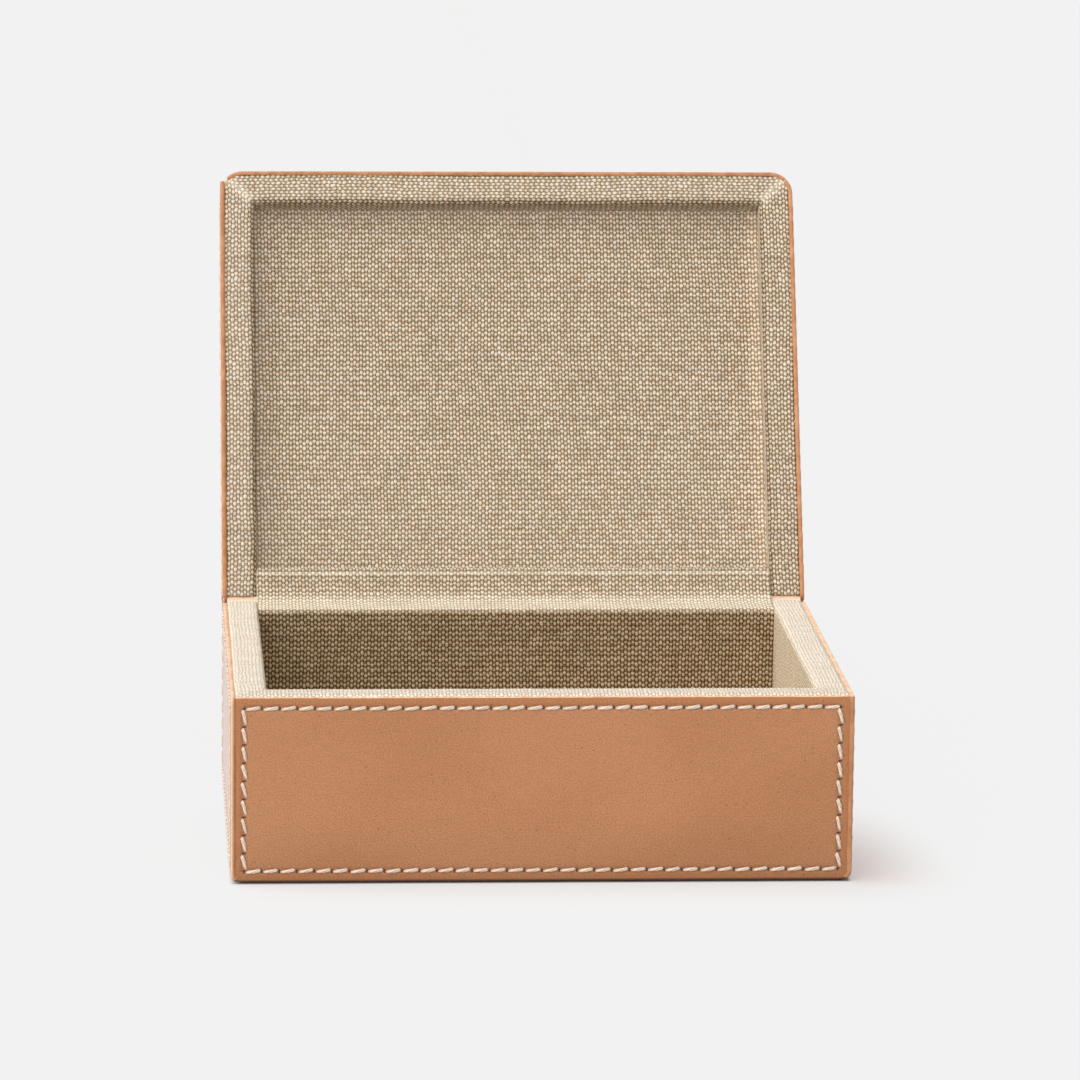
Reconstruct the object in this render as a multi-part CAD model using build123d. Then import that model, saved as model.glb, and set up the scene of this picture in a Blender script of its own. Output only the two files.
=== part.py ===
from build123d import *
import os
from math import cos, radians, sin, tan

# A leather box for papers, with its lid open and leaning back on its leather hinge.
# Millimetres. X runs along the front, the front faces -Y, Z is up.
# The origin is the centre of the tray's underside.

# Outside sizes
box_width = 200.0
box_depth = 154.4
tray_height = 61.0

# Sheet thicknesses
leather = 1.5
hinge_leather = 0.8
canvas = 0.8
wall_board = 9.5
floor_board = 4.0
lid_board = 5.0

# Lid
lid_recess = 7.7
lid_corner = 5.0
lid_open_angle = 115.8

# Hinge
rim_gap = 1.8
hinge_fold_radius = 0.8
hinge_flex_margin = 0.6
cove_radius = 11.5

# Edges and corners
leather_bevel = 0.35
rim_rounding = 1.6
under_rounding = 3.0
under_turn = 60.0
under_tail = 0.4
side_lift = 0.7
panel_lift = 0.9
panel_corner_relief = 1.0
hinge_corner_round = 1.5
sheet_clearance = 0.1

# Saddle stitching
stitch_pitch = 5.7
stitch_length = 4.8
stitch_width = 1.1
stitch_height = 0.5
stitch_slant = 9.0
panel_stitch_inset = 3.4
strip_stitch_inset = 3.0

# Sizes that follow
wall = leather + wall_board + canvas
half_width = box_width / 2
half_depth = box_depth / 2
core_width = box_width - 2 * leather
core_depth = box_depth - 2 * leather
inner_width = box_width - 2 * wall
inner_depth = box_depth - 2 * wall
floor_top = leather + floor_board
rim_board_top = tray_height - canvas
lid_rim = tray_height + rim_gap
lid_board_bottom = lid_rim + lid_recess + canvas
lid_board_top = lid_board_bottom + lid_board
lid_top = lid_board_top + leather
hinge_line = (half_depth, tray_height + rim_gap / 2)
hinge_axis = Axis((0, *hinge_line), (1, 0, 0))


def save(name, part):
    """Write one named piece."""
    export_step(part, f"parts/{name}.step")


def save_lid(name, part):
    """Write a piece of the lid, which is modelled closed, in its open position."""
    save(name, part.rotate(hinge_axis, -lid_open_angle))


def block(x, y, z):
    """A box between two limits along each axis."""
    size = Box(x[1] - x[0], y[1] - y[0], z[1] - z[0])
    return Pos((x[0] + x[1]) / 2, (y[0] + y[1]) / 2, (z[0] + z[1]) / 2) * size


def offset_line(points, distance):
    """The corner points of the line that runs a distance to the right of another."""
    runs = [(Vector(b) - Vector(a)).normalized() for a, b in zip(points, points[1:])]
    sides = [Vector(run.Y, -run.X) * distance for run in runs]
    moved = [Vector(points[0]) + sides[0]]
    for index, corner in enumerate(points[1:-1]):
        before = runs[index]
        after = runs[index + 1]
        half_turn = before.get_signed_angle(after, Vector(0, 0, 1)) / 2
        slip = distance * tan(radians(half_turn))
        moved.append(Vector(corner) + sides[index] + before * slip)
    moved.append(Vector(points[-1]) + sides[-1])
    return moved


def band(points, radii, thickness):
    """Cross-section of a sheet that follows a bent line and lies to its right."""
    far_radii = []
    for index, radius in enumerate(radii):
        before = Vector(points[index + 1]) - Vector(points[index])
        after = Vector(points[index + 2]) - Vector(points[index + 1])
        left_turn = before.cross(after).Z > 0
        far_radii.append(radius + thickness if left_turn else radius - thickness)
    near = FilletPolyline(*points, radius=radii)
    far = FilletPolyline(*offset_line(points, thickness), radius=far_radii)
    ends = [Line(near @ 0, far @ 0), Line(near @ 1, far @ 1)]
    return make_face(near.edges() + far.edges() + [end.edge() for end in ends])


def along_x(section, width):
    """Extrude a section drawn in Y and Z evenly to both sides of the middle."""
    return extrude(Plane.YZ * section, width / 2, both=True)


def along_y(section, depth):
    """Extrude a section drawn in X and Z evenly to the front and the back."""
    return extrude(Plane.XZ * section, depth / 2, both=True)


def prism(sheet, bottom, top):
    """A sheet drawn in X and Y raised between two heights."""
    return extrude(Plane.XY.offset(bottom) * sheet, top - bottom)


def mirrored(part):
    """The same piece for the other side of the box."""
    return mirror(part, Plane.YZ)


def mitre_zone(side, width, depth, bottom, top):
    """The front or left border of a rectangle, cut from its outer to its inner corners."""
    x = width / 2
    y = depth / 2
    x_in = inner_width / 2
    y_in = inner_depth / 2
    if side == "front":
        corners = [(-x, -y), (x, -y), (x_in, -y_in), (-x_in, -y_in)]
    else:
        corners = [(-x, -y), (-x, y), (-x_in, y), (-x_in, -y_in)]
    return prism(make_face(Polyline(*corners, close=True)), bottom, top)


def wall_face(side, height):
    """Plane on an outer face, facing outwards, centred at a height, its own Y pointing up."""
    if side == "front":
        return Plane((0, -half_depth, height), x_dir=(1, 0, 0), z_dir=(0, -1, 0))
    if side == "back":
        return Plane((0, half_depth, height), x_dir=(-1, 0, 0), z_dir=(0, 1, 0))
    if side == "left":
        return Plane((-half_width, 0, height), x_dir=(0, -1, 0), z_dir=(-1, 0, 0))
    return Plane((half_width, 0, height), x_dir=(0, 1, 0), z_dir=(1, 0, 0))


def leather_panel(face, sheet):
    """Leather cut to an outline, its outer edge bevelled, lying behind a face."""
    panel = extrude(sheet, -leather)
    outer = panel.faces().sort_by(Axis.Z)[-1]
    return face.location * chamfer(outer.edges(), leather_bevel)


# Saddle stitching

def stitch_row(start, end):
    """Slanted stitches from one corner hole to the next, lying on the plane Z = 0."""
    run = Vector(end) - Vector(start)
    count = max(1, round(run.length / stitch_pitch))
    spacing = run.length / count
    heading = Vector(1, 0).get_signed_angle(run, Vector(0, 0, 1))
    thread = Rectangle(stitch_length * spacing / stitch_pitch, stitch_width)
    stitch = extrude(Rot(0, 0, heading + stitch_slant) * thread, stitch_height)
    centres = [Vector(start) + run * ((index + 0.5) / count) for index in range(count)]
    return [Pos(centre.X, centre.Y, 0) * stitch for centre in centres]


def stitch_loop(face, width, height, inset):
    """A line of saddle stitches all round a rectangular panel."""
    x = width / 2 - inset
    y = height / 2 - inset
    corners = [(-x, -y), (x, -y), (x, y), (-x, y), (-x, -y)]
    stitches = []
    for start, end in zip(corners, corners[1:]):
        stitches += stitch_row(start, end)
    return Compound(children=[face.location * stitch for stitch in stitches])


# Walls and the canvas on them, the same for the tray and the lid

def ease_rim(board, inward, rim):
    """Round the edge of a board where the canvas bends from the rim to the wall."""
    inner = board.faces().sort_by(inward)[-1]
    edge = inner.edges().sort_by(rim)[-1]
    return fillet(edge, rim_rounding - canvas)


def wall_boards(bottom, top, rim):
    """Front and left boards, the left one running from front to back."""
    x = core_width / 2
    y = core_depth / 2
    x_in = x - wall_board
    y_in = y - wall_board
    front = block((-x_in, x_in), (-y, -y_in), (bottom, top))
    left = block((-x, -x_in), (-y, y), (bottom, top))
    return ease_rim(front, Axis.Y, rim), ease_rim(left, Axis.X, rim)


def wall_linings(rim, wall_end):
    """Canvas over the front and left rims and walls, mitred where the two meet."""
    def wrapped(edge, wall_line):
        path = [(edge, rim), (wall_line, rim), (wall_line, wall_end)]
        if rim < wall_end:
            path.reverse()
        return band(path, [rim_rounding], canvas)

    heights = sorted((rim, wall_end))
    front = along_x(wrapped(-core_depth / 2, -inner_depth / 2), core_width)
    left = along_y(wrapped(-core_width / 2, -inner_width / 2), core_depth)
    front &= mitre_zone("front", core_width, core_depth, *heights)
    left &= mitre_zone("left", core_width, core_depth, *heights)
    return front, left


# Tray leather

def side_under_line():
    """The left wall's outer face from its turned-under lower edge up to the rim."""
    turn = radians(under_turn)
    reach = under_rounding * tan(turn / 2) + under_tail
    low = (-half_width + reach * sin(turn), side_lift)
    corner = (-half_width, side_lift + reach * cos(turn))
    return [low, corner, (-half_width, tray_height)]


def end_panel(height):
    """Outline of a front or back panel, rounded below to clear the turned-under sides."""
    sheet = Rectangle(core_width, height)
    lower = sheet.vertices().group_by(Axis.Y)[0]
    return fillet(lower, under_rounding + panel_corner_relief)


def hinge_corner(height, direction):
    """What rounding takes off a left side panel's corner next to the hinge."""
    r = hinge_corner_round
    centre_height = height + direction * r
    limits = sorted((height, centre_height))
    corner = block((-half_width, 0), (half_depth - r, half_depth), limits)
    bar = Cylinder(r, box_width, rotation=(0, 90, 0))
    return corner - Pos(0, half_depth - r, centre_height) * bar


def underside_inset():
    """How far the turned-under side leather reaches in below the box."""
    line = offset_line(side_under_line(), leather)
    return line[0].X + half_width + sheet_clearance


def tray_leathers():
    """Four stitched walls and the plain sheet underneath."""
    front_height = tray_height - panel_lift
    face = wall_face("front", panel_lift + front_height / 2)
    save("tray_front_leather", leather_panel(face, end_panel(front_height)))

    back_height = front_height - hinge_flex_margin
    face = wall_face("back", panel_lift + back_height / 2)
    save("tray_back_leather", leather_panel(face, end_panel(back_height)))

    side = along_y(band(side_under_line(), [under_rounding], leather), box_depth)
    side -= hinge_corner(tray_height, -1)
    outer = side.faces().sort_by(Axis.X)[0]
    side = chamfer(outer.edges().sort_by(Axis.Z)[1:], leather_bevel)
    save("tray_left_leather", side)
    save("tray_right_leather", mirrored(side))

    x = half_width - underside_inset()
    y = core_depth / 2
    save("tray_underside_leather", block((-x, x), (-y, y), (0, leather)))


# Tray core

def floor_board_section():
    """The floor board from the front, eased below to lie inside the turned-under sides."""
    corner = offset_line(side_under_line(), leather)[1]
    low_x = corner.X + (corner.Y - leather) * tan(radians(under_turn))
    left = [(corner.X, floor_top), (corner.X, corner.Y), (low_x, leather)]
    right = [(-x, z) for x, z in reversed(left)]
    section = make_face(Polyline(*left, *right, close=True))
    middle = section.vertices().group_by(Axis.Y)[1]
    return fillet(middle, under_rounding - leather)


def tray_boards():
    """Floor board, and four walls standing on it."""
    save("tray_floor_board", along_y(floor_board_section(), core_depth))
    front, left = wall_boards(floor_top, rim_board_top, Axis.Z)
    save("tray_front_board", front)
    save("tray_back_board", mirror(front, Plane.XZ))
    save("tray_left_board", left)
    save("tray_right_board", mirrored(left))


def tray_linings():
    """Canvas over the front and side rims and walls, and on the floor."""
    front, left = wall_linings(tray_height, floor_top)
    front_board, _ = wall_boards(floor_top, rim_board_top, Axis.Z)
    left -= mirror(front_board, Plane.XZ)
    save("tray_front_lining", front)
    save("tray_left_lining", left)
    save("tray_right_lining", mirrored(left))

    across = (-inner_width / 2, inner_width / 2)
    along = (-inner_depth / 2, inner_depth / 2)
    save("tray_floor_lining", block(across, along, (floor_top, floor_top + canvas)))


# Lid, modelled closed

def lid_plan(width, depth, corner):
    """The lid's outline from above, its two front corners rounded."""
    sheet = Rectangle(width, depth)
    return fillet(sheet.vertices().group_by(Axis.Y)[0], corner)


def lid_core(bottom, top):
    """Everything inside the lid's leather between two heights."""
    return prism(lid_plan(core_width, core_depth, lid_corner - leather), bottom, top)


def lid_leathers():
    """Top sheet over four edge strips."""
    plan = lid_plan(box_width, box_depth, lid_corner)
    top = prism(plan, lid_board_top, lid_top)
    upper = top.faces().sort_by(Axis.Z)[-1]
    save_lid("lid_top_leather", chamfer(upper.edges(), leather_bevel))

    z = (lid_rim, lid_board_top)
    ring = prism(plan, *z)
    rim = ring.faces().sort_by(Axis.Z)[0]
    ring = chamfer(rim.edges(), leather_bevel) - lid_core(*z)
    save_lid("lid_front_leather", ring & mitre_zone("front", box_width, box_depth, *z))
    left = ring & mitre_zone("left", box_width, box_depth, *z)
    left -= block((-core_width / 2, core_width / 2), (core_depth / 2, half_depth), z)
    left -= hinge_corner(lid_rim, 1)
    save_lid("lid_left_leather", left)
    save_lid("lid_right_leather", mirrored(left))

    strip_bottom = lid_rim + hinge_flex_margin
    strip_height = lid_board_top - strip_bottom
    face = wall_face("back", strip_bottom + strip_height / 2)
    save_lid("lid_back_leather", leather_panel(face, Rectangle(core_width, strip_height)))


def lid_boards():
    """The lid's board and the four rails that make its rim."""
    save_lid("lid_top_board", lid_core(lid_board_bottom, lid_board_top))

    z = (lid_rim + canvas, lid_board_bottom)
    front, left = wall_boards(*z, -Axis.Z)
    left &= lid_core(*z)
    save_lid("lid_front_rail", front)
    save_lid("lid_back_rail", mirror(front, Plane.XZ))
    save_lid("lid_left_rail", left)
    save_lid("lid_right_rail", mirrored(left))


def lid_linings():
    """Canvas over the front and side rails, and in the recess."""
    front, left = wall_linings(lid_rim, lid_board_bottom)
    core = lid_core(lid_rim, lid_board_bottom)
    front_rail, _ = wall_boards(lid_rim + canvas, lid_board_bottom, -Axis.Z)
    left &= core
    left -= mirror(front_rail, Plane.XZ)
    save_lid("lid_front_lining", front & core)
    save_lid("lid_left_lining", left)
    save_lid("lid_right_lining", mirrored(left))

    across = (-inner_width / 2, inner_width / 2)
    along = (-inner_depth / 2, inner_depth / 2)
    heights = (lid_board_bottom - canvas, lid_board_bottom)
    save_lid("lid_panel_lining", block(across, along, heights))


# Hinge, modelled at rest with the lid open

def opened(y, z):
    """Where a point of the closed lid lies when the lid is open."""
    turn = radians(lid_open_angle)
    back = y - hinge_line[0]
    up = z - hinge_line[1]
    opened_back = back * cos(turn) + up * sin(turn)
    opened_up = up * cos(turn) - back * sin(turn)
    return (hinge_line[0] + opened_back, hinge_line[1] + opened_up)


def hinge_parts():
    """The pared leather that folds, and the canvas that goes taut across the gap."""
    low = (half_depth, tray_height - hinge_flex_margin)
    high = opened(half_depth, lid_rim + hinge_flex_margin)
    fold = band([high, hinge_line, low], [hinge_fold_radius], hinge_leather)
    save("hinge_leather", along_x(fold, core_width))

    y_wall = inner_depth / 2
    half_angle = radians(lid_open_angle / 2)
    rims_meet = (half_depth + rim_gap / 2 / tan(half_angle), tray_height)
    points = [
        (y_wall, floor_top),
        (y_wall, tray_height),
        rims_meet,
        opened(y_wall, lid_rim),
        opened(y_wall, lid_board_bottom),
    ]
    strip = band(points, [rim_rounding, cove_radius, rim_rounding], canvas)
    save("hinge_canvas", along_x(strip, inner_width))


def tray_stitching():
    """Saddle stitches round the four tray walls."""
    front_height = tray_height - panel_lift
    middle = panel_lift + front_height / 2
    for side, length in (("front", core_width), ("left", box_depth), ("right", box_depth)):
        loop = stitch_loop(wall_face(side, middle), length, front_height, panel_stitch_inset)
        save(f"tray_{side}_stitches", loop)

    back_height = front_height - hinge_flex_margin
    face = wall_face("back", panel_lift + back_height / 2)
    loop = stitch_loop(face, core_width, back_height, panel_stitch_inset)
    save("tray_back_stitches", loop)


def lid_stitching():
    """Saddle stitches round the lid's top sheet and its four edge strips."""
    face = Plane((0, 0, lid_top), x_dir=(1, 0, 0), z_dir=(0, 0, 1))
    loop = stitch_loop(face, box_width, box_depth, panel_stitch_inset)
    save_lid("lid_top_stitches", loop)

    strip_height = lid_board_top - lid_rim
    strip_middle = lid_rim + strip_height / 2
    length = box_width - 2 * lid_corner
    loop = stitch_loop(wall_face("front", strip_middle), length, strip_height, strip_stitch_inset)
    save_lid("lid_front_stitches", loop)

    length = box_depth - lid_corner
    for side in ("left", "right"):
        loop = stitch_loop(wall_face(side, strip_middle), length, strip_height, strip_stitch_inset)
        save_lid(f"lid_{side}_stitches", Pos(0, lid_corner / 2, 0) * loop)

    back_height = strip_height - hinge_flex_margin
    face = wall_face("back", lid_board_top - back_height / 2)
    loop = stitch_loop(face, core_width, back_height, strip_stitch_inset)
    save_lid("lid_back_stitches", loop)


os.makedirs("parts", exist_ok=True)
tray_leathers()
tray_boards()
tray_linings()
lid_leathers()
lid_boards()
lid_linings()
hinge_parts()
tray_stitching()
lid_stitching()
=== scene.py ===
import math
import random

import bmesh
import bpy
from mathutils import Matrix, Vector, noise


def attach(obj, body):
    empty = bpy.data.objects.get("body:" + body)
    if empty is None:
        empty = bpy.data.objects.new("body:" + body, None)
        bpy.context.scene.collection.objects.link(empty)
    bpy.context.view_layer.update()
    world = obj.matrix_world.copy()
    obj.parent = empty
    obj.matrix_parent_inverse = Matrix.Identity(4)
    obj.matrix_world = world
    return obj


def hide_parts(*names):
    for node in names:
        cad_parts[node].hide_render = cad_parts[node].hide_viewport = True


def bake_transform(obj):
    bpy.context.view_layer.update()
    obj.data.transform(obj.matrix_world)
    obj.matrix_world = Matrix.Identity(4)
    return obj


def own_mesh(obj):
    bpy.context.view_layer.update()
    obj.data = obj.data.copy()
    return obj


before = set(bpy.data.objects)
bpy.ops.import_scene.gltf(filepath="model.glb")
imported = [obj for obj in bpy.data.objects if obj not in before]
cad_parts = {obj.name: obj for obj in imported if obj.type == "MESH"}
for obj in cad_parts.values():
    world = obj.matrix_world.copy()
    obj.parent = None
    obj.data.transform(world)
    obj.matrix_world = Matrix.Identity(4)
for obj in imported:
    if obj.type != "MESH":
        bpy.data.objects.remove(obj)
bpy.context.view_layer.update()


# ---------------------------------------------------------------------------
# Studio
# A seamless pale paper floor, a bright even room and one broad soft lamp above
# and to the left, looked at from a little above the box's front left.

CAMERA_PLACE = Vector((-0.13597, -2.0882, 0.49924))
CAMERA_YAW = 0.06662
CAMERA_PITCH = 0.1897
CAMERA_ROLL = 0.01102
LENS = 215.1
SENSOR = 36.0

camera_data = bpy.data.cameras.new("camera")
camera_data.lens = LENS
camera_data.sensor_width = SENSOR
camera_data.clip_end = 100.0
camera = bpy.data.objects.new("camera", camera_data)
bpy.context.collection.objects.link(camera)
aim = Matrix.Rotation(-CAMERA_YAW, 4, "Z") @ Matrix.Rotation(math.pi / 2 - CAMERA_PITCH, 4, "X")
camera.matrix_world = Matrix.Translation(CAMERA_PLACE) @ aim @ Matrix.Rotation(CAMERA_ROLL, 4, "Z")
bpy.context.scene.camera = camera
bpy.context.scene.view_settings.view_transform = "Standard"


def linear(red, green, blue):
    """A colour written as 0 to 255 on a screen, as the shader wants it."""
    def channel(value):
        value /= 255
        return value / 12.92 if value <= 0.04045 else ((value + 0.055) / 1.055) ** 2.4

    return (channel(red), channel(green), channel(blue))


class Wire:
    """One output socket; arithmetic on wires lays down Math nodes."""

    def __init__(self, bench, socket):
        self.bench = bench
        self.socket = socket

    def maths(self, operation, *others):
        return self.bench.add("ShaderNodeMath", {"operation": operation}, [self, *others])

    def __add__(self, other):
        return self.maths("ADD", other)

    def __sub__(self, other):
        return self.maths("SUBTRACT", other)

    def __rsub__(self, other):
        return self.bench.add("ShaderNodeMath", {"operation": "SUBTRACT"}, [other, self])

    def __mul__(self, other):
        return self.maths("MULTIPLY", other)

    def __truediv__(self, other):
        return self.maths("DIVIDE", other)

    def __rtruediv__(self, other):
        return self.bench.add("ShaderNodeMath", {"operation": "DIVIDE"}, [other, self])

    def __pow__(self, other):
        return self.maths("POWER", other)

    def __abs__(self):
        return self.maths("ABSOLUTE")

    __radd__ = __add__
    __rmul__ = __mul__

    def floor(self):
        return self.maths("FLOOR")

    def least(self, other):
        return self.maths("MINIMUM", other)

    def most(self, other):
        return self.maths("MAXIMUM", other)

    def wrapped(self, period):
        """Distance to the nearest whole multiple of the period."""
        return abs(self - (self / period + 0.5).floor() * period)

    def ramp(self, low, high):
        """Smoothly from 0 at low to 1 at high."""
        settings = {"interpolation_type": "SMOOTHSTEP"}
        return self.bench.add("ShaderNodeMapRange", settings, {"Value": self, "From Min": low, "From Max": high})


class Bench:
    """The nodes of one material."""

    def __init__(self, name):
        self.material = bpy.data.materials.new(name)
        self.material.use_nodes = True
        self.nodes = self.material.node_tree.nodes
        self.links = self.material.node_tree.links
        self.shader = self.nodes["Principled BSDF"]

    def add(self, kind, settings=None, sockets=None, output=0):
        """A node of a kind, its settings made first, then its sockets given values or links."""
        node = self.nodes.new(kind)
        for name, value in (settings or {}).items():
            setattr(node, name, value)
        pairs = sockets.items() if isinstance(sockets, dict) else enumerate(sockets or [])
        for key, value in pairs:
            self.set(node.inputs[key], value)
        return Wire(self, node.outputs[output])

    def set(self, socket, value):
        """Link a wire to a socket, or write a plain value there."""
        if isinstance(value, Wire):
            self.links.new(value.socket, socket)
        elif socket.type == "RGBA":
            socket.default_value = (*value, 1.0)
        else:
            socket.default_value = value

    def finish(self, **sockets):
        """Fill the main shader's sockets, named with underscores for spaces."""
        for name, value in sockets.items():
            self.set(self.shader.inputs[name.replace("_", " ")], value)
        return self.material

    def mix(self, factor, low, high):
        """Between two colours."""
        settings = {"data_type": "RGBA"}
        sockets = {"Factor": factor, 6: low, 7: high}
        return self.add("ShaderNodeMix", settings, sockets, output=2)

    def shade(self, colour, factor):
        """A colour made lighter or darker by a factor."""
        return self.add("ShaderNodeVectorMath", {"operation": "SCALE"}, {0: colour, "Scale": factor})

    def vector(self, x, y, z=0.0):
        return self.add("ShaderNodeCombineXYZ", None, [x, y, z])

    def place(self, layer=None):
        """Across and along in millimetres: of a piece's flat pattern, or of its place."""
        if layer:
            spot = self.add("ShaderNodeUVMap", {"uv_map": layer})
        else:
            spot = self.add("ShaderNodeTexCoord", None, None, output="Object")
        parts = self.nodes.new("ShaderNodeSeparateXYZ")
        self.links.new(spot.socket, parts.inputs[0])
        return [Wire(self, out) * 1000.0 for out in parts.outputs]

    def cloud(self, where, scale, detail=2.0, roughness=0.5):
        """Soft noise round 0.5, a number of blobs to the millimetre."""
        sockets = {"Vector": where, "Scale": scale, "Detail": detail, "Roughness": roughness}
        return self.add("ShaderNodeTexNoise", None, sockets)

    def relief(self, height, depth, before=None):
        """Bumps of a depth in metres."""
        sockets = {"Height": height, "Distance": depth}
        if before:
            sockets["Normal"] = before
        return self.add("ShaderNodeBump", None, sockets)


FLOOR_SIZE = 60.0
FLOOR_TONE = linear(224, 224, 224)
BOUNCE_LIGHT_TONE = linear(222, 204, 196)
BACKDROP_TONE = linear(242, 242, 242)
SHADOW_REACH = (0.0, 42.0)
NEAR_EVEN = 0.4
FAR_EVEN = 0.97

floor_bench = Bench("paper_floor")
floor_x, floor_y, _ = floor_bench.place()
paper_grain = floor_bench.cloud(floor_bench.vector(floor_x, floor_y), 0.02)
# Painted bounce light: the floor beside the box's right side is tinted warm, as light thrown off its leather would tint
# it.
painted_bounce = floor_x.ramp(98.0, 102.0) * floor_x.ramp(150.0, 104.0) * floor_y.ramp(-86.0, -74.0)
floor_tone = floor_bench.mix(painted_bounce, FLOOR_TONE, BOUNCE_LIGHT_TONE)
floor_material = floor_bench.finish(
    Base_Color=floor_bench.shade(floor_tone, paper_grain * 0.006 + 0.997),
    Roughness=1.0,
    Specular_IOR_Level=0.0,
)
off_side = (abs(floor_x) - 100.0).most(0.0)
off_end = (abs(floor_y) - 77.0).most(0.0)
off_rear = (floor_y + 60.0).most(0.0) * 0.4
clear = ((off_side * off_side + off_end * off_end + off_rear * off_rear) ** 0.5).ramp(*SHADOW_REACH)
clear = clear.most(floor_x.ramp(-97.0, -101.0) * 0.9)
beneath = (100.0 - abs(floor_x)).least(77.2 - abs(floor_y)).ramp(-0.5, 1.0)
floor_rays = floor_bench.add("ShaderNodeLightPath")
paper_white = floor_bench.add("ShaderNodeEmission", None, {"Color": BACKDROP_TONE, "Strength": 1.0})
even = floor_bench.add("ShaderNodeMixShader")
evened = (clear * (FAR_EVEN - NEAR_EVEN) + NEAR_EVEN) * (1 - beneath)
floor_bench.set(even.socket.node.inputs[0], floor_rays * evened)
floor_bench.links.new(floor_bench.shader.outputs[0], even.socket.node.inputs[1])
floor_bench.links.new(paper_white.socket, even.socket.node.inputs[2])
floor_bench.links.new(even.socket, floor_bench.nodes["Material Output"].inputs["Surface"])
floor_mesh = bpy.data.meshes.new("floor")
bm = bmesh.new()
bmesh.ops.create_grid(bm, x_segments=1, y_segments=1, size=FLOOR_SIZE / 2)
bm.to_mesh(floor_mesh)
bm.free()
floor_mesh.materials.append(floor_material)
floor = bpy.data.objects.new("floor", floor_mesh)
bpy.context.collection.objects.link(floor)

ROOM_LIGHT = 0.27
LAMP_STRENGTH = 3.5
LAMP_SPREAD = 100.0
LAMP_FROM = Vector((-0.46, -0.3, 0.84))

world = bpy.data.worlds.new("room")
bpy.context.scene.world = world
world.use_nodes = True
room = world.node_tree
sky = room.nodes["Background"]
sky.inputs["Color"].default_value = (1, 1, 1, 1)
sky.inputs["Strength"].default_value = ROOM_LIGHT
backdrop = room.nodes.new("ShaderNodeBackground")
backdrop.inputs["Color"].default_value = (*BACKDROP_TONE, 1)
rays = room.nodes.new("ShaderNodeLightPath")
seen = room.nodes.new("ShaderNodeMixShader")
either = room.nodes.new("ShaderNodeMath")
either.operation = "MAXIMUM"
room.links.new(rays.outputs["Is Camera Ray"], either.inputs[0])
room.links.new(rays.outputs["Is Glossy Ray"], either.inputs[1])
room.links.new(either.outputs[0], seen.inputs["Fac"])
room.links.new(sky.outputs[0], seen.inputs[1])
room.links.new(backdrop.outputs[0], seen.inputs[2])
room.links.new(seen.outputs[0], room.nodes["World Output"].inputs["Surface"])

lamp_data = bpy.data.lights.new("soft_lamp", "SUN")
lamp_data.energy = LAMP_STRENGTH
lamp_data.angle = math.radians(LAMP_SPREAD)
lamp = bpy.data.objects.new("soft_lamp", lamp_data)
lamp.rotation_mode = "QUATERNION"
lamp.rotation_quaternion = LAMP_FROM.to_track_quat("Z", "Y")
bpy.context.collection.objects.link(lamp)


# ---------------------------------------------------------------------------
# Boards
# The stiff core of pale limewood board under the leather and canvas. Only its
# edges could ever show, so the boards keep their plain sawn shape.

board_bench = Bench("limewood_board")
board_x, board_y, board_z = board_bench.place()
board_rings = board_bench.cloud(board_bench.vector(board_x * 0.05, board_y * 0.6, board_z * 0.6), 1.0, 3.0)
board_fibre = board_bench.cloud(board_bench.vector(board_x * 0.3, board_y * 4.0, board_z * 4.0), 1.0, 2.0)
board_tone = board_bench.mix(board_rings, linear(205, 172, 130), linear(228, 202, 164))
board_material = board_bench.finish(
    Base_Color=board_bench.shade(board_tone, board_fibre * 0.2 + 0.9),
    Roughness=board_fibre * 0.2 + 0.6,
    Normal=board_bench.relief(board_fibre, 0.0001),
)
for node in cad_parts:
    if node.endswith(("_board", "_rail")):
        mesh = bpy.data.objects[node].data
        mesh.materials.clear()
        mesh.materials.append(board_material)


# ---------------------------------------------------------------------------
# Tray leather
# Natural vegetable-tanned leather, 1.5 mm thick. The front and back sheets stand
# between the side sheets, whose lower edges are turned under the box. Every
# sheet but the underside is pricked, and saddle-stitched close to its edge.

BOX_WIDTH = 0.2
BOX_DEPTH = 0.1544
TRAY_HEIGHT = 0.061
LEATHER = 0.0015
CORE_WIDTH = BOX_WIDTH - 2 * LEATHER
CORE_DEPTH = BOX_DEPTH - 2 * LEATHER
PANEL_LIFT = 0.0009
HINGE_FLEX = 0.0006
STITCH_PITCH = 0.0057
STITCH_INSET = 0.0034
COLUMN_INSET = 0.0029

FACE_TONES = (linear(174, 116, 74), linear(191, 133, 91))
MARGIN_TONE = linear(176, 114, 69)
EDGE_TONES = (linear(230, 177, 140), linear(244, 206, 172))
BURNISH_TONES = (linear(178, 120, 79), linear(196, 139, 98))
LID_EDGE_TONES = (linear(184, 121, 77), linear(206, 147, 103))
# Painted light: the edges of the lid's back strip are a pale raw tone, lightened against the shade they lie in by the
# hinge.
RAW_EDGE_LIT_TONES = (linear(246, 214, 186), linear(254, 234, 214))
# Painted shade for the pricked holes, also the colour of the grain's dark specks.
HOLE_SHADE_AND_SPECK_TONE = linear(70, 42, 26)
FOOT_SHADOW_TONE = linear(74, 48, 34)


def seam_of(width, height, inset=STITCH_INSET, column_inset=COLUMN_INSET):
    """Half sides of a stitched rectangle and its stitch spacing along each, in millimetres."""
    a = (width / 2 - column_inset) * 1000
    b = (height / 2 - inset) * 1000
    pitch = STITCH_PITCH * 1000
    return a, b, 2 * a / max(1, round(2 * a / pitch)), 2 * b / max(1, round(2 * b / pitch))


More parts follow.
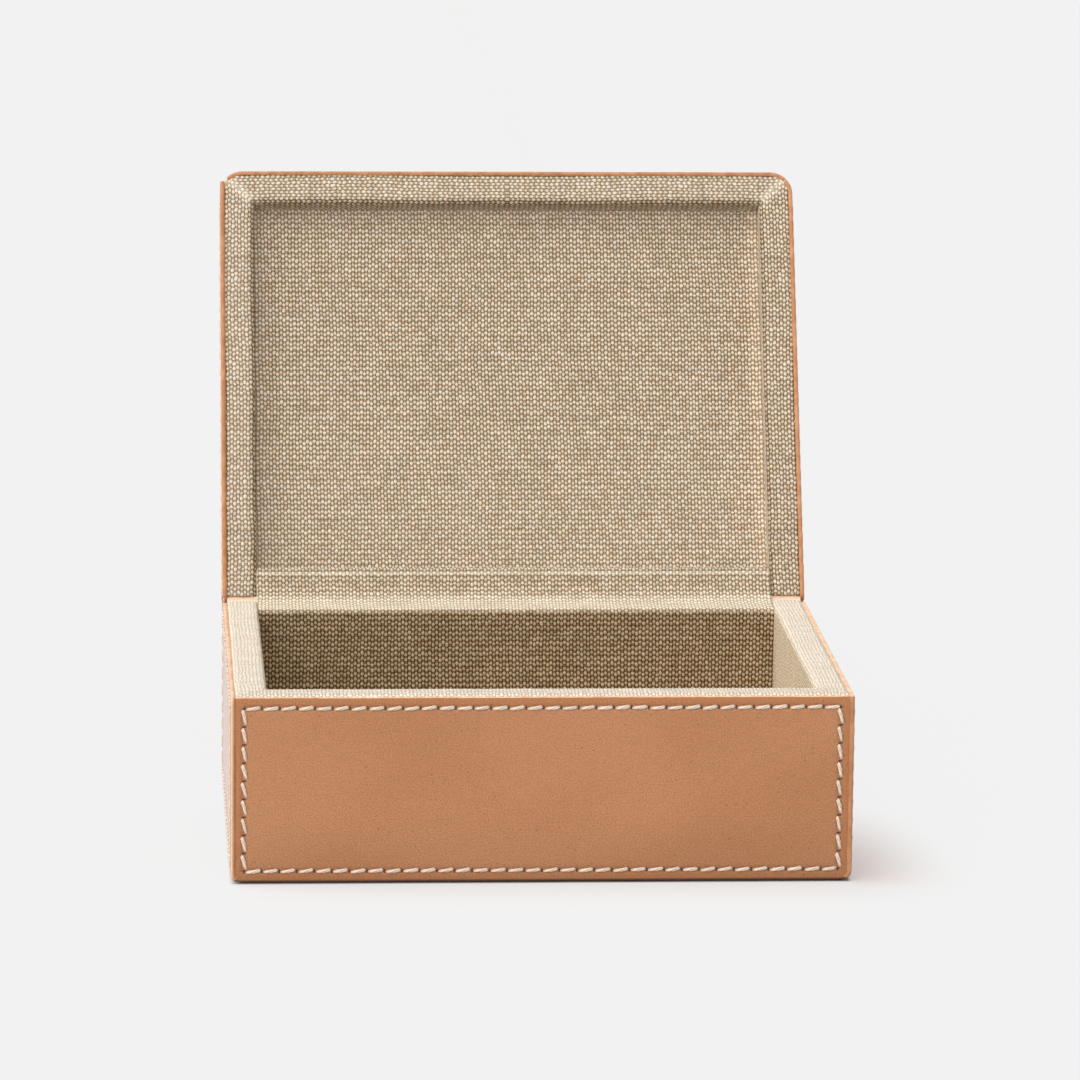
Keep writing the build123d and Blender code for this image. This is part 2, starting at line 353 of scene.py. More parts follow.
def tanned_leather(name, seam=None, seed=0.0):
    """Grain side of the leather: mottled tan, fine pores, a waxed margin and pricked holes, with painted shade in the
    holes, along the seam and at the foot of the tray's sheets.
    """
    bench = Bench(name)
    u, v, _ = bench.place("cut")
    where = bench.vector(u, v, seed)
    broad = bench.cloud(bench.vector(u * 0.8 - v * 0.5, v + u * 0.2, seed), 0.012, 2.0)
    mottle = bench.cloud(where, 0.35, 4.0, 0.62)
    grain = bench.cloud(where, 2.0, 2.0, 0.7)
    scratches = bench.cloud(bench.vector(u * 0.12 + v * 0.05, v * 1.6, seed + 7), 1.0, 2.0)
    tone = bench.mix(broad.ramp(0.25, 0.75), *FACE_TONES)
    shade = mottle * 0.2 + grain * 1.3 + scratches * 0.06 + 0.195
    pore_sockets = {"Vector": where, "Scale": 0.42, "Randomness": 1.0}
    pores = bench.add("ShaderNodeTexVoronoi", {"feature": "F1"}, pore_sockets)
    rare = bench.cloud(where, 0.11, 1.0).ramp(0.46, 0.6)
    speck = (1 - pores.ramp(0.06, 0.17)) * rare
    height = grain * 0.35 + mottle * 0.3
    if seam:
        a, b, step_u, step_v = seam
        off_row = abs(v) - b
        off_column = abs(u) - a
        outside = off_row.most(off_column)
        margin = outside.ramp(-0.3, 0.9)
        tone = bench.mix(margin * 0.75, tone, MARGIN_TONE)
        across_row = (u + a).wrapped(step_u)
        across_column = (v + b).wrapped(step_v)
        row = ((across_row / 0.36) ** 2 + (off_row / 0.72) ** 2 + off_column.most(0.0) * 4)
        column = ((across_column / 0.36) ** 2 + (off_column / 0.72) ** 2 + off_row.most(0.0) * 4)
        hole = 1 - row.least(column).ramp(0.45, 1.15)
        along_row = abs(off_row) + off_column.most(0.0) * 4
        along_column = abs(off_column) + off_row.most(0.0) * 4
        furrow = 1 - along_row.least(along_column).ramp(0.1, 1.5)
        # Painted shade along the pressed seam furrow.
        shade = shade * (1 - furrow * 0.1)
        height = height - furrow * 1.2 - hole * 2.0
        # Painted shade: the pricked holes are coloured dark, as their depth is in shade.
        tone = bench.mix(hole * 0.9, tone, HOLE_SHADE_AND_SPECK_TONE)
        _, _, lift = bench.place()
        # Darker towards the bottom of the tray's sheets.
        shade = shade * (lift.ramp(3.0, 26.0) * 0.11 + 0.92)
        # Painted shadow: the lowest millimetre of the tray's sheets is dark where they meet the floor.
        tone = bench.mix(lift.ramp(1.7, 1.0) * 0.9, tone, FOOT_SHADOW_TONE)
    tone = bench.mix(speck * 0.45, tone, HOLE_SHADE_AND_SPECK_TONE)
    return bench.finish(
        Base_Color=bench.shade(tone, shade),
        Roughness=mottle * 0.2 + 0.42,
        Specular_IOR_Level=0.45,
        Sheen_Weight=1.0,
        Sheen_Roughness=0.2,
        Normal=bench.relief(height, 0.00022),
    )


def cut_edge(name, tones):
    """Burnished fibres of a cut edge, or the flesh side, with painted shade at the foot and a painted highlight down
    the left corner's burnished edge.
    """
    bench = Bench(name)
    x, y, z = bench.place()
    where = bench.vector(x, y, z)
    fibres = bench.cloud(bench.vector(x * 0.5, y * 0.5, z * 2.5), 1.3, 3.0)
    blotches = bench.cloud(where, 0.25, 2.0)
    tone = bench.mix(blotches.ramp(0.3, 0.7), *tones)
    # Painted highlight: the burnished edge at the box's left corner turns pale, as the lamp on the left lights it.
    if tones == BURNISH_TONES:
        tone = bench.mix(x.ramp(-98.7, -99.8), tone, EDGE_TONES[1])
    # Painted shadow: the lowest millimetre of the edges is dark where they meet the floor.
    tone = bench.mix(z.ramp(1.7, 1.0) * 0.9, tone, FOOT_SHADOW_TONE)
    return bench.finish(
        Base_Color=bench.shade(tone, fibres * 0.24 + 0.86),
        Roughness=0.62,
        Normal=bench.relief(fibres, 0.00012),
    )


edge_material = cut_edge("leather_cut_edge", EDGE_TONES)
upright_edge_material = cut_edge("leather_burnished_edge", BURNISH_TONES)
lid_edge_material = cut_edge("leather_waxed_edge", LID_EDGE_TONES)
lit_raw_edge_material = cut_edge("leather_raw_edge_painted_light", RAW_EDGE_LIT_TONES)


def cut_lines(low, high, seam_half, step):
    """Where a sheet is divided: at each half stitch, and close beside its seam."""
    lines = {round(-seam_half + step * index / 2, 6) for index in range(round(4 * seam_half / step) + 1)}
    for beside in (-0.0022, -0.0009, 0.0, 0.0009):
        lines.add(round(seam_half + beside, 6))
        lines.add(round(-seam_half - beside, 6))
    return sorted(line for line in lines if low + 0.0004 < line < high - 0.0004)


def divided(bm, lines, normal):
    """Cut a flat sheet across at each line."""
    for line in lines:
        everything = bm.verts[:] + bm.edges[:] + bm.faces[:]
        bmesh.ops.bisect_plane(bm, geom=everything, plane_co=Vector(normal) * line, plane_no=normal)


def leather_sheet(x_range, y_range, seam, corners=(), bends=(), seed=0):
    """A flat sheet with softened edges, pressed in along its seam, outer side up at Z = 0."""
    bm = bmesh.new()
    bmesh.ops.create_grid(bm, x_segments=1, y_segments=1, size=0.5)
    bmesh.ops.scale(bm, vec=(x_range[1] - x_range[0], y_range[1] - y_range[0], 1), verts=bm.verts)
    bmesh.ops.translate(bm, vec=(sum(x_range) / 2, sum(y_range) / 2, 0), verts=bm.verts)
    for x_end, y_end, radius in corners:
        corner = Vector((x_range[x_end], y_range[y_end], 0))
        rounded = [v for v in bm.verts if (v.co - corner).length < 1e-6]
        bmesh.ops.bevel(
            bm, geom=rounded, affect="VERTICES", offset=radius, segments=7, profile=0.5, material=-1
        )
    a, b, step_u, step_v = [size / 1000 for size in seam]
    divided(bm, cut_lines(*x_range, a, step_u), (1, 0, 0))
    divided(bm, cut_lines(*y_range, b, step_v), (0, 1, 0))
    for normal, start, end in bends:
        divided(bm, [start + (end - start) * index / 6 for index in range(6)], normal)
    bmesh.ops.recalc_face_normals(bm, faces=bm.faces)
    if bm.faces[:][0].normal.z < 0:
        bmesh.ops.reverse_faces(bm, faces=bm.faces)
    under = bmesh.ops.extrude_face_region(bm, geom=bm.faces[:])["geom"]
    lower = [item for item in under if isinstance(item, bmesh.types.BMVert)]
    bmesh.ops.translate(bm, vec=(0, 0, -LEATHER), verts=lower)
    bmesh.ops.recalc_face_normals(bm, faces=bm.faces)
    for face in bm.faces:
        face.smooth = True
        face.material_index = 0 if face.normal.z > 0.5 else 2 if abs(face.normal.x) > 0.5 else 1
    top = [e for e in bm.edges if min(v.co.z for v in e.verts) > -LEATHER / 2]
    rim = [e for e in top if e.calc_face_angle(0) > 1]
    bmesh.ops.bevel(bm, geom=rim, affect="EDGES", offset=0.0003, segments=2, profile=0.5, material=-1)
    layer = bm.loops.layers.uv.new("cut")
    for face in bm.faces:
        for loop in face.loops:
            loop[layer].uv = loop.vert.co.xy
    for vert in bm.verts:
        x, y, z = vert.co
        on_row = abs(y) - b > abs(x) - a
        off = max(abs(y) - b, abs(x) - a)
        along = (x + a) / step_u if on_row else (y + b) / step_v
        between = 0.5 - 0.5 * math.cos(2 * math.pi * along)
        if z > -LEATHER / 2:
            vert.co.z -= 0.00018 * math.exp(-((off / 0.0013) ** 2)) * (1 - 0.4 * between)
        if off > 0.0006:
            swell = 0.00009 * (between - 1) + 0.00012 * noise.noise(Vector((x * 60, y * 60, seed)))
            vert.co[1 if on_row else 0] += math.copysign(min(swell, 0), y if on_row else x)
    return bm


def bent(bm, axis, start, radius, turn=math.pi, sign=1):
    """Bend what lies beyond a line of a flat sheet back round a rounded edge."""
    for vert in bm.verts:
        beyond = vert.co[axis] * sign - start
        if beyond > 0:
            angle = min(beyond / radius, turn)
            tail = beyond - angle * radius
            arm = radius + vert.co.z
            vert.co[axis] = sign * (start + arm * math.sin(angle) + tail * math.cos(angle))
            vert.co.z = arm * math.cos(angle) - radius - tail * math.sin(angle)


def placed(bm, name, materials, *moves):
    """Make a piece of a worked mesh, set where it belongs."""
    for move in moves:
        bmesh.ops.transform(bm, matrix=move, verts=bm.verts)
    mesh = bpy.data.meshes.new(name)
    bm.to_mesh(mesh)
    bm.free()
    for material in materials:
        mesh.materials.append(material)
    piece = bpy.data.objects.new(name, mesh)
    bpy.context.collection.objects.link(piece)
    return piece


def wall_place(side, height, shift=0.0):
    """From a sheet's own plane to an outer face of the box, centred at a height."""
    turns = {"front": 0, "right": 90, "back": 180, "left": 270}
    out = BOX_DEPTH / 2 if side in ("front", "back") else BOX_WIDTH / 2
    upright = Matrix.Rotation(math.pi / 2, 4, "X")
    turn = Matrix.Rotation(math.radians(turns[side]), 4, "Z")
    return turn @ Matrix.Translation((shift, -out, height)) @ upright


def leather_piece(name, bm, seam, seed, node, body, *moves):
    """A finished leather sheet that stands for a CAD node."""
    grain_side = tanned_leather(f"{name}_grain", seam, seed * 13.7)
    rim_side = lid_edge_material if body == "lid" else edge_material
    if name == "lid_back_strip":
        rim_side = lit_raw_edge_material
    piece = placed(bm, name, [grain_side, rim_side, upright_edge_material], *moves)
    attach(piece, body)
    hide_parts(node)


FRONT_HEIGHT = TRAY_HEIGHT - PANEL_LIFT
MIDDLE = PANEL_LIFT + FRONT_HEIGHT / 2
LOW_CORNER = 0.0021
HINGE_CORNER = 0.0015
TURN_RADIUS = 0.003
TURN_FROM = 0.003498
TURN_BY = math.radians(60)
TURNED_EXTRA = 0.00094

for side, height, seed in (("front", FRONT_HEIGHT, 20), ("back", FRONT_HEIGHT - HINGE_FLEX, 2)):
    seam = seam_of(CORE_WIDTH, height)
    x = CORE_WIDTH / 2
    y = height / 2
    low_corners = ((0, 0, LOW_CORNER), (1, 0, LOW_CORNER))
    bm = leather_sheet((-x, x), (-y, y), seam, low_corners, seed=seed)
    spot = wall_place(side, PANEL_LIFT + y)
    leather_piece(f"tray_{side}_panel", bm, seam, seed, f"tray_{side}_leather", "tray", spot)

for side, back_end, seed in (("left", 0, 3), ("right", 1, 4)):
    seam = seam_of(BOX_DEPTH, FRONT_HEIGHT)
    x = BOX_DEPTH / 2
    y = FRONT_HEIGHT / 2
    turn = [((0, 1, 0), TURN_FROM - MIDDLE, -y - TURNED_EXTRA)]
    low = -y - TURNED_EXTRA
    bm = leather_sheet((-x, x), (low, y), seam, [(back_end, 1, HINGE_CORNER)], turn, seed)
    bent(bm, 1, MIDDLE - TURN_FROM, TURN_RADIUS, TURN_BY, sign=-1)
    spot = wall_place(side, MIDDLE)
    leather_piece(f"tray_{side}_panel", bm, seam, seed, f"tray_{side}_leather", "tray", spot)

UNDERSIDE_HALF = 0.0966
underside_seam = (300.0, 300.0, 5.7, 5.7)
x = UNDERSIDE_HALF
y = CORE_DEPTH / 2
bm = leather_sheet((-x, x), (-y, y), underside_seam, seed=5)
turn_over = Matrix.Rotation(math.pi, 4, "Y")
leather_piece("tray_underside_sheet", bm, None, 5, "tray_underside_leather", "tray", turn_over)


# ---------------------------------------------------------------------------
# Lid leather
# A top sheet over four narrow edge strips, shut like a shallow tray and then
# swung back. The front strip is wrapped round the lid's rounded front corners;
# the left strip starts square beside it and the right one follows it round.

LID_RIM = 0.0628
LID_BOARD_TOP = 0.0763
LID_TOP = 0.0778
LID_CORNER = 0.0078
STRIP_INSET = 0.003
HINGE_LINE = Vector((0, 0.0772, 0.0619))
OPEN_BY = math.radians(115.8)

swung = (
    Matrix.Translation(HINGE_LINE)
    @ Matrix.Rotation(-OPEN_BY, 4, "X")
    @ Matrix.Translation(-HINGE_LINE)
)

x = BOX_WIDTH / 2
y = BOX_DEPTH / 2
seam = seam_of(BOX_WIDTH, BOX_DEPTH)
bm = leather_sheet((-x, x), (-y, y), seam, ((0, 0, LID_CORNER), (1, 0, LID_CORNER)), seed=6)
on_top = Matrix.Translation((0, 0, LID_TOP))
leather_piece("lid_top_sheet", bm, seam, 6, "lid_top_leather", "lid", on_top, swung)

STRIP_HEIGHT = LID_BOARD_TOP - LID_RIM
STRIP_MIDDLE = LID_RIM + STRIP_HEIGHT / 2
QUARTER = LID_CORNER * math.pi / 4
straight = BOX_WIDTH / 2 - LID_CORNER
seam = seam_of(2 * straight, STRIP_HEIGHT, STRIP_INSET)
y = STRIP_HEIGHT / 2
reach = straight + QUARTER
turns = [((1, 0, 0), straight, reach), ((-1, 0, 0), straight, reach)]
bm = leather_sheet((-reach, reach), (-y, y), seam, (), turns, 7)
bent(bm, 0, straight, LID_CORNER)
bent(bm, 0, straight, LID_CORNER, sign=-1)
leather_piece(
    "lid_front_strip", bm, seam, 7, "lid_front_leather", "lid", wall_place("front", STRIP_MIDDLE), swung
)

SQUARE_START = 0.0038
side_length = BOX_DEPTH - LID_CORNER
seam = seam_of(side_length, STRIP_HEIGHT, STRIP_INSET)
half = side_length / 2
reach = half + LID_CORNER - SQUARE_START
bm = leather_sheet((-half, reach), (-y, y), seam, [(0, 0, HINGE_CORNER)], seed=8)
spot = wall_place("left", STRIP_MIDDLE, -LID_CORNER / 2)
leather_piece("lid_left_strip", bm, seam, 8, "lid_left_leather", "lid", spot, swung)

turns = [((-1, 0, 0), half, half + QUARTER)]
bm = leather_sheet((-half - QUARTER, half), (-y, y), seam, [(1, 0, HINGE_CORNER)], turns, 9)
bent(bm, 0, half, LID_CORNER, sign=-1)
spot = wall_place("right", STRIP_MIDDLE, LID_CORNER / 2)
leather_piece("lid_right_strip", bm, seam, 9, "lid_right_leather", "lid", spot, swung)

height = STRIP_HEIGHT - HINGE_FLEX
seam = seam_of(CORE_WIDTH, height, STRIP_INSET)
x = CORE_WIDTH / 2
y = height / 2
bm = leather_sheet((-x, x), (-y, y), seam, seed=10)
spot = wall_place("back", LID_BOARD_TOP - y)
leather_piece("lid_back_strip", bm, seam, 10, "lid_back_leather", "lid", spot, swung)


# ---------------------------------------------------------------------------
# Canvas
# Coarse undyed canvas glued over the rims and down the walls, its corners
# mitred, and laid on the floor and in the lid's recess. Plump pale warp threads
# stand over a darker weft, staggered like bricks, with painted shade between
# them. Bands of painted light and shade lie across rims, walls and panels.

CANVAS = 0.0008
WALL = 0.0118
RIM_WIDTH = WALL - LEATHER
RIM_ROUNDING = 0.0016
CROWN = 0.0007
CROWN_START = 0.0011
CROWN_ROUNDING = 0.0009
FLOOR_TOP = 0.0055
RECESS = 0.0077
INNER_WIDTH = BOX_WIDTH - 2 * WALL
INNER_DEPTH = BOX_DEPTH - 2 * WALL
CLOTH_STEP = 0.002

RIB = 1.157
BEAD = 1.783
# Painted shade: the dark ground between the threads, and in part the darker weft lying below the warp.
GROUND_TONES = (linear(118, 89, 50), linear(224, 208, 182))
WEFT_TONES = (linear(188, 164, 128), linear(236, 223, 201))
WARP_TONES = (linear(213, 196, 172), linear(231, 216, 196))
PALE_WARP = linear(250, 241, 227)
CLOTH_TINTS = ((1.03, 0.99, 0.96), (0.97, 1.0, 1.04))
LID_SEED = 24
# Painted shade and light on the lid's rim cloth: a dark line where it meets the leather, shade under the rounding on
# the recess wall, and light lower down that wall.
LID_RIM_BANDS = [
    ("across", 0.8, 0.2, -0.1, -0.25, 0.8),
    ("across", 7.6, 9.8, -0.15, -0.28, 0.7),
    ("across", 12.0, 16.5, 0.1, 0.16, -0.3),
]
# Painted shade and light on the lid's right rim cloth: a dark line at the leather, shade at the rounding, and the wall
# lightened to match the panel.
LID_RIGHT_BANDS = [
    ("across", 0.8, 0.2, -0.1, -0.25, 0.8),
    ("across", 8.4, 9.8, -0.15, -0.25, 0.6),
    ("across", 10.2, 11.4, 0.3, 0.3, -0.5),
]
# Painted light: lighter near the panels' edges, where the walls shade them, and towards their back ends.
PANEL_BANDS = [
    ("along", 6.0, 0.0, 0.1, 0.2, 0.0),
    ("along", 60.0, 125.0, 0.05, 0.05, 0.0),
    ("across", -82.0, -88.0, 0.1, 0.2, 0.0),
    ("across", 82.0, 88.0, 0.1, 0.2, 0.0),
]
SHADED_TINT = (0.93, 0.79, 0.5)


def canvas_cloth(name, seed, pale=0.0, bands=(), mitred=False, waver=0.4):
    """Plain weave: each warp bead is an oval, every other rib's beads lie a third of a bead on.

    A band is a stretch, across the ribs or along them, of painted light or shade: over it
    the cloth grows paler, lighter and less warmly shaded, or the reverse. Pale gives a
    paler, lit copy, also painted light. Where u equals v a mitre has pulled it paler.
    """
    bench = Bench(name)
    u, v, _ = bench.place("cloth")
    where = bench.vector(u, v, seed)
    lean = bench.cloud(where, 0.03, 1.0) - 0.5
    drift = bench.cloud(bench.vector(u * 0.3, v * 0.2, seed + 3), 1.0, 1.0) - 0.5
    jostle = bench.cloud(bench.vector(u * 0.5, v * 0.5, seed + 15), 1.0, 0.0) - 0.5
    rib_at = (u + lean * 1.6 + drift * waver + jostle * 0.4) / RIB
    rib = rib_at.floor()
    beside = rib_at - rib - 0.5
    sway = bench.cloud(bench.vector(u * 0.1, v * 0.5, seed + 5), 1.0, 1.0) - 0.5
    slip = bench.add("ShaderNodeTexWhiteNoise", {"noise_dimensions": "1D"}, {"W": rib + seed})
    odd = rib.maths("FLOORED_MODULO", 2.0)
    bead_at = (v + sway * 0.8 - jostle * 0.5) / BEAD + odd * 0.32 + slip * 0.08
    bead = bead_at.floor()
    past = bead_at - bead - 0.5
    chance = bench.add("ShaderNodeTexWhiteNoise", {"noise_dimensions": "3D"}, {"Vector": bench.vector(rib, bead, seed)})
    plump = chance * 0.16 + 0.92
    oval = abs(beside / (plump * 0.52)) ** 2.6 + (past / (plump * 0.41)) ** 2
    warp = (1 - oval).most(0.0)
    weft = (1 - (beside / 0.5) ** 2 - ((0.5 - abs(past)) / 0.15) ** 2).most(0.0)
    fibre = bench.cloud(bench.vector(u * 7.0, v * 1.6, seed + 9), 1.0, 2.0)
    slub = bench.cloud(bench.vector(u * 0.06, v * 0.7, seed + 11), 1.0, 2.0)
    patch = bench.cloud(where, 0.12, 2.0)
    light = 0.0
    painted_warm_shade = 0.0
    for axis, start, end, paler, lighter, warmer_shade in bands:
        stretch = (v if axis == "along" else u).ramp(start, end)
        pale = stretch * paler + pale
        light = stretch * lighter + light
        painted_warm_shade = stretch * warmer_shade + painted_warm_shade
    if mitred:
        pulled = 1 - abs(u - v).ramp(0.0, 4.5)
        pale = pulled * 0.35 + pale
        light = pulled * 0.05 + light
    ground = bench.mix(pale, *GROUND_TONES)
    # Painted warm shade darkens the ground between the threads most.
    if isinstance(painted_warm_shade, Wire):
        ground = bench.shade(ground, 1 - painted_warm_shade.most(0.0) * 0.45)
    tone = bench.mix(weft * 0.8, ground, bench.mix(pale, *WEFT_TONES))
    bead_tone = bench.mix(pale, bench.mix(chance, *WARP_TONES), PALE_WARP)
    tone = bench.mix(warp.ramp(0.0, 0.8), tone, bead_tone)
    tint = bench.mix(bench.cloud(bench.vector(u * 0.25, v * 0.6, seed + 21), 1.0, 2.0).ramp(0.3, 0.7), *CLOTH_TINTS)
    tone = bench.add("ShaderNodeVectorMath", {"operation": "MULTIPLY"}, {0: tone, 1: tint})
    # Painted warm shade, as light thrown round inside the box would tint it.
    if isinstance(painted_warm_shade, Wire):
        shaded = bench.add("ShaderNodeVectorMath", {"operation": "MULTIPLY"}, {0: tone, 1: SHADED_TINT})
        tone = bench.mix(painted_warm_shade * (1 - warp * 0.7), tone, shaded)
    shade = fibre * 0.2 + slub * 0.4 + patch * 0.18 + light + 0.61
    return bench.finish(
        Base_Color=bench.shade(tone, shade),
        Roughness=0.9,
        Specular_IOR_Level=0.2,
        Sheen_Weight=0.15,
        Normal=bench.relief(warp ** 0.6 + weft * 0.35 + fibre * 0.12, 0.00022),
    )


def bent_line(corners, radii, step=CLOTH_STEP):
    """Points along a line whose inner corners are rounded, with the distance run to each."""
    line = [Vector(corners[0])]
    for before, corner, after, radius in zip(corners, corners[1:], corners[2:], radii):
        corner = Vector(corner)
        into = (corner - Vector(before)).normalized()
        out = (Vector(after) - corner).normalized()
        turn = into.angle(out)
        reach = radius * math.tan(turn / 2)
        centre = corner + (out - into).normalized() * radius / math.cos(turn / 2)
        first = corner - into * reach - centre
        pieces = max(4, round(turn * radius / step))
        spin = math.copysign(turn, into.x * out.y - into.y * out.x)
        for index in range(pieces + 1):
            arm = first.copy()
            arm.rotate(Matrix.Rotation(spin * index / pieces, 2))
            line.append(centre + arm)
    line.append(Vector(corners[-1]))
    points = [line[0]]
    for a, b in zip(line, line[1:]):
        pieces = max(1, round((b - a).length / step))
        points += [a.lerp(b, index / pieces) for index in range(1, pieces + 1)]
    run = [0.0]
    for a, b in zip(points, points[1:]):
        run.append(run[-1] + (b - a).length)
    return points, run


def swept_cloth(corners, radii, low, high, ribs_across=False, uv="cloth", step=CLOTH_STEP):
    """A bent line of cloth drawn in Y and Z, swept along X; its UVs are the flat cut."""
    points, run = bent_line(corners, radii, step)
    bm = bmesh.new()
    far = bm.verts.layers.float.new("run")
    verts = [bm.verts.new((low, point.x, point.y)) for point in points]
    edges = [bm.edges.new(pair) for pair in zip(verts, verts[1:])]
    for vert, distance in zip(verts, run):
        vert[far] = distance
    pieces = round((high - low) / CLOTH_STEP)
    for _ in range(pieces):
        grown = bmesh.ops.extrude_edge_only(bm, edges=edges)["geom"]
        moved = [item for item in grown if isinstance(item, bmesh.types.BMVert)]
        edges = [item for item in grown if isinstance(item, bmesh.types.BMEdge) and item.is_boundary]
        edges = [e for e in edges if all(v in set(moved) for v in e.verts)]
        bmesh.ops.translate(bm, vec=((high - low) / pieces, 0, 0), verts=moved)
    layer = bm.loops.layers.uv.new(uv)
    for face in bm.faces:
        for loop in face.loops:
            spot = (loop.vert.co.x, loop.vert[far])
            loop[layer].uv = spot if ribs_across else spot[::-1]
    return bm


def trimmed(bm, point, away):
    """Cut the cloth off beyond a plane."""
    everything = bm.verts[:] + bm.edges[:] + bm.faces[:]
    bmesh.ops.bisect_plane(bm, geom=everything, plane_co=point, plane_no=away, clear_outer=True)


def backed(bm, thickness, seed, outward):
    """Roughen a sheet a little by hand and give it its thickness behind."""
    bmesh.ops.recalc_face_normals(bm, faces=bm.faces)
    if bm.faces[:][0].normal.dot(Vector(outward)) < 0:
        bmesh.ops.reverse_faces(bm, faces=bm.faces)
    bm.normal_update()
    for vert in bm.verts:
        wave = noise.noise(vert.co * 90 + Vector((seed, 0, 0)))
        vert.co += vert.normal * 0.00007 * wave
    behind = bmesh.ops.solidify(bm, geom=bm.faces[:], thickness=thickness)["geom"]
    for face in bm.faces:
        face.smooth = True
    for edge in bm.edges:
        edge.smooth = edge.calc_face_angle(0.0) < 1.0
    return [item for item in behind if isinstance(item, bmesh.types.BMFace)]


def rim_place(side, height, turned_over):
    """From a rim's own frame, X along it, Y inwards and Z off it, to its place."""
    inwards = {"front": (0, 1, 0), "left": (1, 0, 0), "right": (-1, 0, 0)}[side]
    off = Vector((0, 0, -1 if turned_over else 1))
    along = Vector(inwards).cross(off)
    reach = CORE_DEPTH / 2 if side == "front" else CORE_WIDTH / 2
    start = -Vector(inwards) * reach
    rows = (along, Vector(inwards), off)
    place = Matrix([[*column] for column in zip(*rows)]).to_4x4()
    return Matrix.Translation(start + Vector((0, 0, height))) @ place


def rim_canvas(name, side, depth, seed, height, node, body, ribs_across=False, pale=0.75):
    """Canvas from the leather over a rim and down its wall, mitred at the front corners."""
    lid = body == "lid"
    half = (CORE_WIDTH if side == "front" else CORE_DEPTH) / 2
    if lid:
        line = [(0, 0), (RIM_WIDTH, 0), (RIM_WIDTH, -depth)]
        radii = [RIM_ROUNDING]
    else:
        line = [(0, 0), (CROWN_START, CROWN), (RIM_WIDTH, CROWN), (RIM_WIDTH, -depth)]
        radii = [CROWN_ROUNDING, RIM_ROUNDING]
    bm = swept_cloth(line, radii, -half, half, ribs_across)
    front_ends = [-1, 1] if side == "front" else [-1 if (side == "right") != lid else 1]
    for end in front_ends:
        trimmed(bm, (end * half, 0, 0), (end, 1, 0))
    if side != "front":
        behind = INNER_DEPTH / 2 + CANVAS
        middles = [(face, face.calc_center_median()) for face in bm.faces]
        buried = [face for face, at in middles if -front_ends[0] * at.x > behind and at.z < -CANVAS]
        bmesh.ops.delete(bm, geom=buried, context="FACES")
    if lid:
        for end in front_ends:
            inner = LID_CORNER - LEATHER
            centre = Vector((end * (half - inner), inner, 0))
            for degrees in (15, 30, 45, 60, 75):
                angle = math.radians(degrees)
                away = Vector((end * math.cos(angle), -math.sin(angle), 0))
                trimmed(bm, centre + away * inner, away)
        layer = bm.loops.layers.uv["cloth"]
        for face in bm.faces:
            end = front_ends[0] if len(front_ends) == 1 else math.copysign(1, face.calc_center_median().x)
            for loop in face.loops:
                loop[layer].uv.y = half - end * loop.vert.co.x
    backed(bm, CANVAS, seed, (0, 0, 1))
    run_axis = "along" if ribs_across else "across"
    # Painted warm shade down the tray's inner walls, below the rims' rounding.
    bands = LID_RIM_BANDS if lid else [(run_axis, 9.6, 12.0, 0.1, 0.05, 0.9)]
    if name == "lid_right_canvas":
        bands = LID_RIGHT_BANDS
    cloth = canvas_cloth(f"{name}_weave", LID_SEED if lid else seed, pale, bands, lid, 0.7 if lid else 1.4)
    spots = [rim_place(side, height, lid)] + ([swung] if lid else [])
    piece = placed(bm, name, [cloth], *spots)
    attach(piece, body)
    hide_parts(node)
    if not lid:
        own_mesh(piece)


# The rims' cloth is a paler copy, most on the tray's rims: painted light where the rims face the lamp.
wall_drop = TRAY_HEIGHT - FLOOR_TOP
rim_canvas("tray_front_canvas", "front", wall_drop, 21, TRAY_HEIGHT, "tray_front_lining", "tray", True, 0.6)
rim_canvas("tray_left_canvas", "left", wall_drop, 22, TRAY_HEIGHT, "tray_left_lining", "tray")
rim_canvas("tray_right_canvas", "right", wall_drop, 23, TRAY_HEIGHT, "tray_right_lining", "tray")
wall_drop = RECESS + CANVAS
rim_canvas("lid_front_canvas", "front", wall_drop, 24, LID_RIM, "lid_front_lining", "lid", pale=0.15)
rim_canvas("lid_left_canvas", "left", wall_drop, 25, LID_RIM, "lid_left_lining", "lid", pale=0.15)
rim_canvas("lid_right_canvas", "right", wall_drop, 26, LID_RIM, "lid_right_lining", "lid", pale=0.05)

for name, node, body, height, side_up, seed in (
    ("tray_floor_canvas", "tray_floor_lining", "tray", FLOOR_TOP + CANVAS, 1, 27),
    ("lid_panel_canvas", "lid_panel_lining", "lid", LID_RIM + RECESS, -1, 28),
):
    x = INNER_WIDTH / 2
    y = INNER_DEPTH / 2
    bm = swept_cloth([(-y, height), (y, height)], [], -x, x, ribs_across=True)
    backed(bm, CANVAS, seed, (0, 0, side_up))
    cloth = canvas_cloth(f"{name}_weave", seed, 0.04, PANEL_BANDS)
    piece = placed(bm, name, [cloth], *([swung] if body == "lid" else []))
    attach(piece, body)
    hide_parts(node)


# ---------------------------------------------------------------------------
# Hinge
# A pared strip of leather joins the two backs outside. Inside, one piece of
# canvas lines the tray's back wall, hangs across the gap between the rims and
# is glued down on the lid's rim.

HINGE_LEATHER = 0.0008
HINGE_FOLD = 0.0008
COVE_RADIUS = 0.0115
FOLD_STEP = 0.00035


def opened(y, z):
    """Where a point of the shut lid, seen from its end, lies when the lid is open."""
    return tuple((swung @ Vector((0, y, z))).yz)


bench = Bench("hinge_leather_flesh")
hinge_x, hinge_y, hinge_z = bench.place()
nap = bench.cloud(bench.vector(hinge_x, hinge_y, hinge_z), 1.6, 3.0)
nap_tone = bench.mix(nap, linear(222, 172, 136), linear(244, 206, 172))
